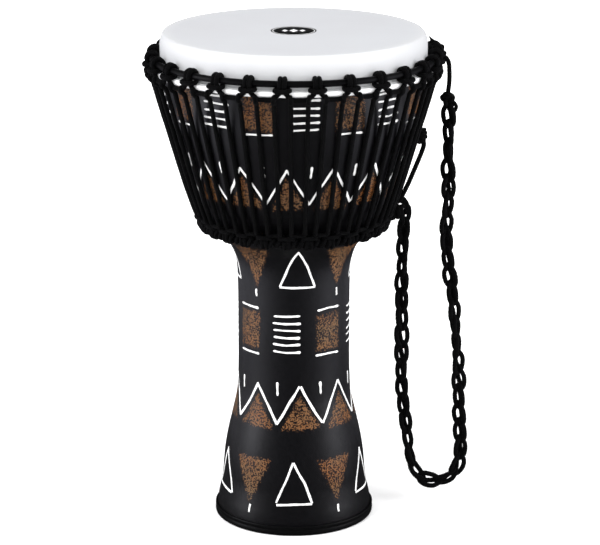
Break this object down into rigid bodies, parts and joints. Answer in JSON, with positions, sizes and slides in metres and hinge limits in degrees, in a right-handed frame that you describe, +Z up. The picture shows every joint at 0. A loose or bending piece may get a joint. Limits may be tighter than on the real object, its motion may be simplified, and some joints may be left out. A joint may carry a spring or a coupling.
{
  "type": "djembe",
  "caption": "Rope-tuned goblet drum with a white synthetic head, black steel rings and lacing, printed shell, rubber foot ring and a looped crocheted carry rope.",
  "frame": {"origin": "centre of the foot's underside, on the drum's axis", "axes": "+Z up along the drum's axis towards the head, -Y the front, +X the side where the carry rope hangs"},
  "size_m": [0.3983, 0.3621, 0.61],
  "materials": {
    "shell_print": "satin dark print with white lines and ochre patches on a moulded shell",
    "foot_rubber": "matte black",
    "head_film": "coated white film, lightly frosted",
    "hoop_white": "white moulded hoop",
    "ring_black": "black powder coat",
    "rope_black": "black braided low-stretch cord"
  },
  "bodies": {
    "root": {"shell": "shell_print", "foot_ring": "foot_rubber", "lower_ring": "ring_black", "lower_cradle_rope": "rope_black", "vertical_lacing": "rope_black", "tie_off_knot": "rope_black", "lacing_tail": "rope_black", "carry_anchor": "rope_black"},
    "head": {"drumhead": "head_film", "flesh_hoop": "hoop_white", "crown_ring": "ring_black", "crown_cradle_rope": "rope_black", "carry_rope_hitch": "rope_black"},
    "carry_rope": {"carry_cord": "rope_black", "carry_knot": "rope_black", "carry_chain": "rope_black"}
  },
  "joints": [
    {"name": "head_slack", "type": "slide", "parent": "root", "child": "head", "axis": [0, 0, 1], "range_m": [0, 0.008], "deforming": ["vertical_lacing"]},
    {"name": "carry_rope_swing", "type": "hinge", "parent": "root", "child": "carry_rope", "pos_m": [0.18823, 0.01912, 0.56], "axis": [0.2973, 0.0302, 0.9543], "range_deg": [-60, 60]}
  ]
}
